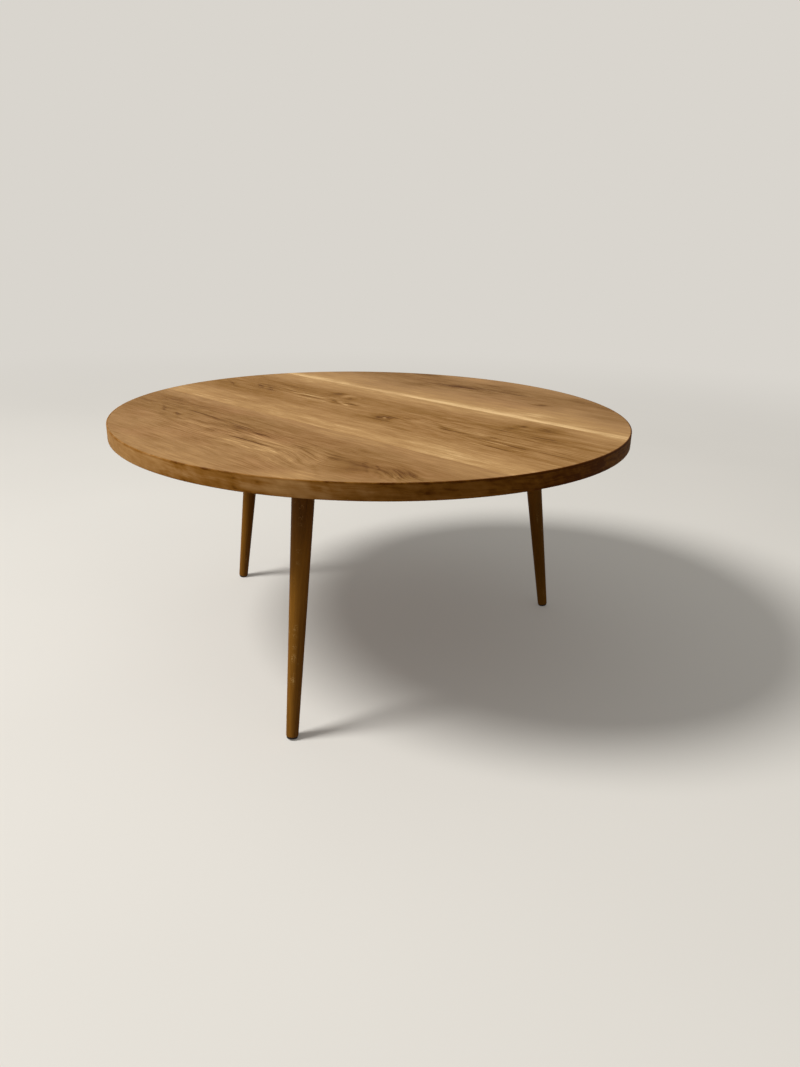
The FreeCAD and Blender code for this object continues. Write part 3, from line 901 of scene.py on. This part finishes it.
def mesh_from_tree(name, tree, values):
    """Run a geometry tree with its inputs set and keep the result as a plain mesh."""
    carrier = bpy.data.objects.new(f"{name}_maker", bpy.data.meshes.new(f"{name}_blank"))
    bpy.context.scene.collection.objects.link(carrier)
    modifier = carrier.modifiers.new("Maker", "NODES")
    modifier.node_group = tree
    for item in tree.interface.items_tree:
        if item.item_type == "SOCKET" and item.in_out == "INPUT" and item.name in values:
            modifier[item.identifier] = values[item.name]
    bpy.context.view_layer.update()
    evaluated = carrier.evaluated_get(bpy.context.evaluated_depsgraph_get())
    mesh = bpy.data.meshes.new_from_object(evaluated)
    blank = carrier.data
    carrier.modifiers.clear()
    bpy.data.objects.remove(carrier)
    bpy.data.meshes.remove(blank)
    if not mesh.polygons:
        raise RuntimeError(f"{name}: the tree made no faces")
    mesh.name = name
    return mesh


def outward(mesh):
    """Turn every face of a closed mesh outwards."""
    shape = bmesh.new()
    shape.from_mesh(mesh)
    bmesh.ops.recalc_face_normals(shape, faces=shape.faces)
    shape.to_mesh(mesh)
    shape.free()
    return mesh


def placed_geometry(tree, geometry, offset, rotation):
    node = add_node(
        tree, "GeometryNodeTransform", {"Geometry": geometry, "Translation": offset, "Rotation": rotation})
    return node.outputs[0]


def turned_leg_tree(sizes):
    """A tapered round leg: a line along its axis, given a radius at each ring and swept with a circle."""
    tree, given = new_tree("Turned leg", {
        **sizes, "Bearing": 0.0, "Stock Offset": (0.0, 0.0, 0.0), "Rings": 96, "Facets": 72, "Material": None})

    def part_of_line():
        return Field(tree, add_node(tree, "GeometryNodeSplineParameter").outputs["Factor"])

    line = add_node(tree, "GeometryNodeCurvePrimitiveLine", {"End": (0.0, 0.0, -1.0)})
    rail = add_node(tree, "GeometryNodeResampleCurve", {"Curve": line.outputs[0], "Count": given["Rings"]})
    down = (0.5 - (part_of_line() * math.pi).of("COSINE") * 0.5) * given["Length"]
    rail = add_node(tree, "GeometryNodeSetPosition", {
        "Geometry": rail.outputs[0], "Position": join(tree, 0.0, 0.0, down * -1.0)})
    part = part_of_line()
    taper = given["Top Diameter"] * 0.5 + (given["Foot Diameter"] - given["Top Diameter"]) * part * 0.5

    def rounding(distance, ease):
        """How much the radius is drawn in at a distance from an end."""
        short = 1.0 - (distance / ease).of("MINIMUM", 1.0)
        return (1.0 - (1.0 - short * short).of("SQRT")) * ease

    taper = taper - rounding(part * given["Length"], given["Top Ease"])
    taper = taper - rounding((1.0 - part) * given["Length"], given["Foot Ease"])
    ends = Field(tree, add_node(
        tree, "GeometryNodeCurveEndpointSelection", {"Start Size": 1, "End Size": 1}).outputs[0])
    rail = add_node(tree, "GeometryNodeSetCurveRadius", {
        "Curve": rail.outputs[0], "Radius": taper * (1.0 - ends)})
    kept_rail = add_node(tree, "GeometryNodeCaptureAttribute", {"Geometry": rail.outputs[0]})
    kept_rail.capture_items.new("FLOAT", "Along")
    feed(tree, kept_rail.inputs[1], part_of_line())
    circle = add_node(tree, "GeometryNodeCurveArc", {
        "Resolution": given["Facets"] + 1.0, "Radius": 1.0, "Start Angle": 0.0, "Sweep Angle": 2 * math.pi})
    kept_circle = add_node(tree, "GeometryNodeCaptureAttribute", {"Geometry": circle.outputs[0]})
    kept_circle.capture_items.new("FLOAT", "Around")
    feed(tree, kept_circle.inputs[1], part_of_line())
    tube = add_node(tree, "GeometryNodeCurveToMesh", {
        "Curve": kept_rail.outputs[0], "Profile Curve": kept_circle.outputs[0]})
    if "Scale" in tube.inputs:
        feed(tree, tube.inputs["Scale"], add_node(tree, "GeometryNodeInputRadius").outputs[0])
    laid_out = add_node(tree, "GeometryNodeStoreNamedAttribute", {
        "Geometry": tube.outputs[0], "Name": "OFBake",
        "Value": join(tree, kept_circle.outputs[1], kept_rail.outputs[1])}, data_type="FLOAT2", domain="CORNER")
    closed = add_node(tree, "GeometryNodeMergeByDistance", {"Geometry": laid_out.outputs[0], "Distance": 1e-5})
    position = add_node(tree, "GeometryNodeInputPosition").outputs[0]
    in_stock = add_node(tree, "ShaderNodeVectorMath", {0: position, 1: given["Stock Offset"]}, operation="ADD")
    stock = add_node(tree, "GeometryNodeStoreNamedAttribute", {
        "Geometry": closed.outputs[0], "Name": "stock", "Value": in_stock.outputs[0]},
        data_type="FLOAT_VECTOR", domain="POINT")
    smooth = add_node(tree, "GeometryNodeSetShadeSmooth", {"Geometry": stock.outputs[0]})
    leaning = placed_geometry(
        tree, smooth.outputs[0], join(tree, given["Seat Radius"], 0.0, given["Seat Height"]),
        join(tree, 0.0, given["Splay"] * -1.0, 0.0))
    standing = placed_geometry(tree, leaning, (0.0, 0.0, 0.0), join(tree, 0.0, 0.0, given["Bearing"]))
    end_tree(tree, standing, given["Material"])
    return tree


def plate_screws_tree(sizes):
    """Countersunk screws with a cross recess, one at each hole of a plate, each stopped at its own turn."""
    tree, given = new_tree("Plate screws", {**sizes, "Bearing": 0.0, "Seed": 1, "Material": None})
    around, head, shank = 96, given["Screw Head"] * 0.5, given["Screw Shank"] * 0.5
    bevel, brim, point = 0.00015, 0.0004, 0.003
    sheet = add_node(tree, "GeometryNodeMeshGrid", {
        "Size X": 1.0, "Size Y": 1.0, "Vertices X": around + 1, "Vertices Y": 9})
    across, along, _ = split(tree, add_node(tree, "GeometryNodeInputPosition").outputs[0])
    turn = (across + 0.5) * (2 * math.pi)
    quarter = turn.of("MODULO", math.pi / 2)
    folded = quarter.of("MINIMUM", math.pi / 2 - quarter)
    arm_end = given["Recess Length"] * 0.5 / folded.of("COSINE")
    arm_side = given["Recess Width"] * 0.5 / folded.of("SINE").of("MAXIMUM", 1e-3)
    cross = arm_end.of("MINIMUM", arm_side)
    rings = (
        (0.0, given["Recess Depth"]), (cross * 0.6, given["Recess Depth"]), (cross, 0.0),
        (head - bevel, 0.0), (head, bevel), (head, brim), (shank, head - shank + brim),
        (shank, given["Screw Length"] - point), (0.0, given["Screw Length"]),
    )
    ring = (along + 0.5) * (len(rings) - 1.0) + 0.5
    level = []
    for column in (0, 1):
        choose = add_node(tree, "GeometryNodeIndexSwitch", data_type="FLOAT")
        while len(choose.index_switch_items) < len(rings):
            choose.index_switch_items.new()
        feed(tree, choose.inputs[0], ring.of("FLOOR"))
        for place, values in enumerate(rings):
            feed(tree, choose.inputs[place + 1], values[column])
        level.append(Field(tree, choose.outputs[0]))
    radius, height = level
    shell = add_node(tree, "GeometryNodeSetPosition", {
        "Geometry": sheet.outputs[0],
        "Position": join(tree, radius * turn.of("COSINE"), radius * turn.of("SINE"), height)})
    screw = add_node(tree, "GeometryNodeMergeByDistance", {"Geometry": shell.outputs[0], "Distance": 1e-6})
    holes = add_node(tree, "GeometryNodeMeshGrid", {
        "Size X": given["Hole Spread Along"], "Size Y": given["Hole Spread Across"],
        "Vertices X": 2, "Vertices Y": 2})
    turns = add_node(tree, "FunctionNodeRandomValue", {"Seed": given["Seed"]}, data_type="FLOAT_VECTOR")
    turns.inputs[0].default_value = (0.0, 0.0, 0.0)
    turns.inputs[1].default_value = (0.0, 0.0, math.pi / 2)
    screws = add_node(tree, "GeometryNodeInstanceOnPoints", {
        "Points": holes.outputs[0], "Instance": screw.outputs[0], "Rotation": turns.outputs[0]})
    out = placed_geometry(
        tree, screws.outputs[0], join(tree, given["Plate Radius"], 0.0, given["Plate Bottom"]), (0.0, 0.0, 0.0))
    standing = placed_geometry(tree, out, (0.0, 0.0, 0.0), join(tree, 0.0, 0.0, given["Bearing"]))
    end_tree(tree, standing, given["Material"])
    return tree


class TABLE_OT_face_veneer(bpy.types.Operator):
    """Lay the three leaves of walnut on the face"""
    bl_idname = "table.face_veneer"
    bl_label = "Face Veneer"

    def execute(self, context):
        settings = context.scene.cocktail_table.top
        for name in leaves:
            mesh = leaf_mesh(name, settings.seam_ease)
            new_piece(
                f"face_leaf_{name}", mesh, face_veneer_material(name, settings), "face_veneer",
                f"face_veneer_{name}")
        return {"FINISHED"}


class TABLE_OT_edge_band(bpy.types.Operator):
    """Bend the band round the edge of the top"""
    bl_idname = "table.edge_band"
    bl_label = "Edge Band"

    def execute(self, context):
        settings = context.scene.cocktail_table.top
        new_piece(
            "edge_band_strip", band_mesh(settings), edge_band_material(settings), "edge_band", "edge_band")
        return {"FINISHED"}


class TABLE_OT_board(bpy.types.Operator):
    """Finish the board and the backing veneer under it"""
    bl_idname = "table.board"
    bl_label = "Board and Backing"

    def execute(self, context):
        dress(core_board_material(), "core_board")
        dress(backing_veneer_material(context.scene.cocktail_table.top), "backing_veneer")
        return {"FINISHED"}


class TABLE_OT_legs(bpy.types.Operator):
    """Turn the three legs and stain them"""
    bl_idname = "table.legs"
    bl_label = "Legs"

    def execute(self, context):
        settings = context.scene.cocktail_table.legs
        material = leg_wood_material(settings)
        sizes = sizes_of(
            settings, "length", "top_diameter", "foot_diameter", "top_ease", "foot_ease", "splay", "seat_radius",
            "seat_height")
        tree = turned_leg_tree(sizes)
        for place, side in enumerate(sides):
            mesh = mesh_from_tree(f"turned_leg_{side}", tree, {
                **sizes, "Bearing": getattr(settings, f"{side}_bearing"),
                "Stock Offset": (0.011 * place, -0.016 * place, stock_step * place), "Material": material,
            })
            new_piece(f"turned_leg_{side}", outward(mesh), material, "leg", f"leg_{side}")
        return {"FINISHED"}


class TABLE_OT_plates(bpy.types.Operator):
    """Coat the three mounting plates"""
    bl_idname = "table.plates"
    bl_label = "Mounting Plates"

    def execute(self, context):
        material = powder_coat_material(context.scene.cocktail_table.hardware)
        dress(material, *(f"leg_plate_{side}" for side in sides))
        return {"FINISHED"}


class TABLE_OT_fasteners(bpy.types.Operator):
    """Drive the plate screws, and plate the nuts, bolts and nails"""
    bl_idname = "table.fasteners"
    bl_label = "Fasteners"

    def execute(self, context):
        settings = context.scene.cocktail_table.hardware
        legs = context.scene.cocktail_table.legs
        material = zinc_material(settings)
        sizes = sizes_of(
            settings, "plate_radius", "plate_bottom", "hole_spread_along", "hole_spread_across", "screw_head",
            "screw_shank", "screw_length", "recess_length", "recess_width", "recess_depth")
        tree = plate_screws_tree(sizes)
        for place, side in enumerate(sides):
            mesh = mesh_from_tree(f"cross_screws_{side}", tree, {
                **sizes, "Bearing": getattr(legs, f"{side}_bearing"), "Seed": place + 1, "Material": material})
            outward(mesh)
            mesh.polygons.foreach_set("use_smooth", [True] * len(mesh.polygons))
            mesh.set_sharp_from_angle(angle=math.radians(30.0))
            new_piece(f"cross_screws_{side}", mesh, material, "fastener", f"plate_screws_{side}")
            dress(material, f"plate_nut_{side}", f"hanger_bolt_{side}", f"glide_nail_{side}")
        return {"FINISHED"}


class TABLE_OT_glides(bpy.types.Operator):
    """Finish the glides under the feet"""
    bl_idname = "table.glides"
    bl_label = "Foot Glides"

    def execute(self, context):
        dress(glide_material(context.scene.cocktail_table.hardware), *(f"foot_glide_{side}" for side in sides))
        return {"FINISHED"}


class TABLE_OT_stage(bpy.types.Operator):
    """Set the floor, the light and the camera"""
    bl_idname = "table.stage"
    bl_label = "Stage"

    def execute(self, context):
        settings = context.scene.cocktail_table.stage
        context.scene.view_settings.view_transform = "Standard"
        self.lay_floor(context, settings)
        self.set_light(context, settings)
        self.set_camera(context, settings)
        return {"FINISHED"}

    def lay_floor(self, context, settings):
        shape = bmesh.new()
        bmesh.ops.create_circle(shape, cap_ends=True, segments=96, radius=settings.floor_radius)
        mesh = bpy.data.meshes.new("floor")
        shape.to_mesh(mesh)
        shape.free()

        def build(tree):
            x, y, z = split(tree, surface_point(tree))
            cloud = noise(tree, x / 900.0, y / 900.0, z, 2.0)
            lit = tuple(part * (1.0 - settings.shadow_lift) for part in settings.floor)
            dusk = tuple(part * 0.97 for part in lit)
            colour = tone_ramp(tree, cloud, [(0.3, dusk), (0.7, lit)])
            seen = direct_rays(tree)
            colour = mix_colours(tree, seen, settings.floor_bounce, colour)
            far = length_of(tree, join(tree, x, y)).between(settings.fade_start * 1000.0, settings.fade_end * 1000.0)
            colour = mix_colours(tree, far, colour, (0.0, 0.0, 0.0))
            glow = (far * (1.0 - settings.shadow_lift) + settings.shadow_lift) * seen
            return {
                "Base Color": colour, "Roughness": cloud * 0.1 + 0.8, "Specular IOR Level": 0.0,
                "Emission Color": (*settings.backdrop, 1.0), "Emission Strength": glow,
            }, None, 0.0

        mesh.materials.append(finish_material("plain floor", build))
        floor = bpy.data.objects.new("floor", mesh)
        context.scene.collection.objects.link(floor)

    def set_light(self, context, settings):
        key = bpy.data.lights.new("soft key", "POINT")
        key.energy = 4.0 * math.pi * settings.key_strength
        key.shadow_soft_size = settings.key_size
        key.use_nodes = True
        tree = key.node_tree
        tree.nodes.clear()
        even = add_node(tree, "ShaderNodeLightFalloff", {"Strength": 1.0}).outputs["Constant"]
        glow = add_node(tree, "ShaderNodeEmission", {"Strength": even})
        add_node(tree, "ShaderNodeOutputLight", {0: glow.outputs[0]})
        lamp = bpy.data.objects.new("soft key", key)
        lamp.location = (
            settings.key_distance * math.cos(settings.key_bearing),
            settings.key_distance * math.sin(settings.key_bearing), settings.key_height)
        towards = (lamp.location - Vector((0.0, 0.0, band_high.z))).normalized()
        context.scene.collection.objects.link(lamp)
        world = context.scene.world or bpy.data.worlds.new("studio")
        context.scene.world = world
        world.use_nodes = True
        tree = world.node_tree
        tree.nodes.clear()
        sky = add_node(tree, "ShaderNodeTexCoord").outputs["Generated"]
        facing = add_node(tree, "ShaderNodeVectorMath", {0: sky, 1: tuple(towards)}, operation="DOT_PRODUCT")
        away_from_key, round_key = 0.1, 1.5
        level = Field(tree, facing.outputs["Value"]).between(-1.0, 1.0, away_from_key, round_key) * settings.ambient
        even = add_node(tree, "ShaderNodeBackground", {"Color": (1.0, 0.98, 0.95, 1.0), "Strength": level})
        seen = add_node(tree, "ShaderNodeBackground", {"Color": (*settings.backdrop, 1.0), "Strength": 1.0})
        mixed = add_node(
            tree, "ShaderNodeMixShader", {0: direct_rays(tree), 1: even.outputs[0], 2: seen.outputs[0]})
        add_node(tree, "ShaderNodeOutputWorld", {0: mixed.outputs[0]})

    def set_camera(self, context, settings):
        data = bpy.data.cameras.new("camera")
        data.sensor_width = 36.0
        data.lens = settings.lens
        data.shift_x = settings.camera_shift_x
        data.shift_y = settings.camera_shift_y
        camera = bpy.data.objects.new("camera", data)
        turn = Matrix.Rotation(settings.camera_bearing - settings.camera_yaw, 4, "Z")
        pitch = Matrix.Rotation(math.pi / 2 - settings.camera_pitch, 4, "X")
        roll = Matrix.Rotation(settings.camera_roll, 4, "Z")
        camera.matrix_world = turn @ pitch @ roll
        camera.location = (
            settings.camera_distance * math.sin(settings.camera_bearing),
            -settings.camera_distance * math.cos(settings.camera_bearing), settings.camera_height)
        context.scene.collection.objects.link(camera)
        context.scene.camera = camera


steps = (
    TABLE_OT_stage, TABLE_OT_face_veneer, TABLE_OT_edge_band, TABLE_OT_board, TABLE_OT_legs, TABLE_OT_plates,
    TABLE_OT_fasteners, TABLE_OT_glides,
)


class TABLE_PT_sidebar(bpy.types.Panel):
    """The table's settings and the steps that build it"""
    bl_idname = "TABLE_PT_sidebar"
    bl_label = "Round Cocktail Table"
    bl_space_type = "VIEW_3D"
    bl_region_type = "UI"
    bl_category = "Table"

    def draw(self, context):
        table = context.scene.cocktail_table
        for label, group in (("Top", table.top), ("Legs", table.legs), ("Hardware", table.hardware),
                             ("Stage", table.stage)):
            box = self.layout.box()
            box.label(text=label)
            for name in group.__annotations__:
                box.prop(group, name)
        for step in steps:
            self.layout.operator(step.bl_idname)


classes = (TopSettings, LegSettings, HardwareSettings, StageSettings, TableSettings, *steps, TABLE_PT_sidebar)


def register():
    for each in classes:
        bpy.utils.register_class(each)
    bpy.types.Scene.cocktail_table = PointerProperty(type=TableSettings)


def unregister():
    del bpy.types.Scene.cocktail_table
    for each in reversed(classes):
        bpy.utils.unregister_class(each)


def main():
    """Build the looks step by step."""
    register()
    bpy.ops.table.stage()
    bpy.ops.table.face_veneer()
    bpy.ops.table.edge_band()
    bpy.ops.table.board()
    bpy.ops.table.legs()
    bpy.ops.table.plates()
    bpy.ops.table.fasteners()
    bpy.ops.table.glides()


if __name__ == "__main__":
    main()
